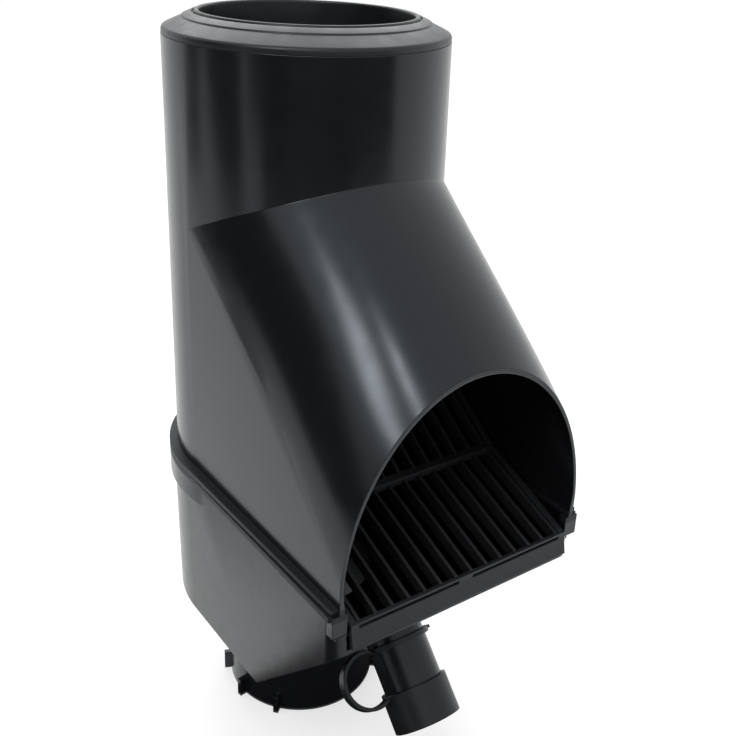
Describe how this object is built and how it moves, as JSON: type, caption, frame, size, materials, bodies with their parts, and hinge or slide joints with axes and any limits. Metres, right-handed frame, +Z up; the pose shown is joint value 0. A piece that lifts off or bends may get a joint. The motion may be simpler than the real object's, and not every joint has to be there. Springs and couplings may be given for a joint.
{
  "type": "downpipe leaf filter",
  "caption": "Black plastic downpipe leaf filter: round inlet neck, slanting open-fronted hood over a sloping grille, flanged tray with ribbed outlet tube and capped drain spout.",
  "frame": {"origin": "centre of the outlet tube's rim, on the pipe axis", "axes": "+Z up along the pipe axis towards the inlet, -Y towards the open mouth, +X to the right seen from the mouth"},
  "size_m": [0.1168, 0.1729, 0.309],
  "materials": {
    "hood_plastic": "satin, moulded",
    "adapter_plastic": "satin, moulded",
    "tray_plastic": "satin, moulded",
    "grille_plastic": "satin, moulded",
    "cap_plastic": "soft, slightly rubbery"
  },
  "bodies": {
    "root": {"upper_hood": "hood_plastic", "inlet_adapter": "adapter_plastic", "lower_tray": "tray_plastic", "leaf_grille": "grille_plastic", "spout_cap": "cap_plastic"}
  },
  "joints": []
}
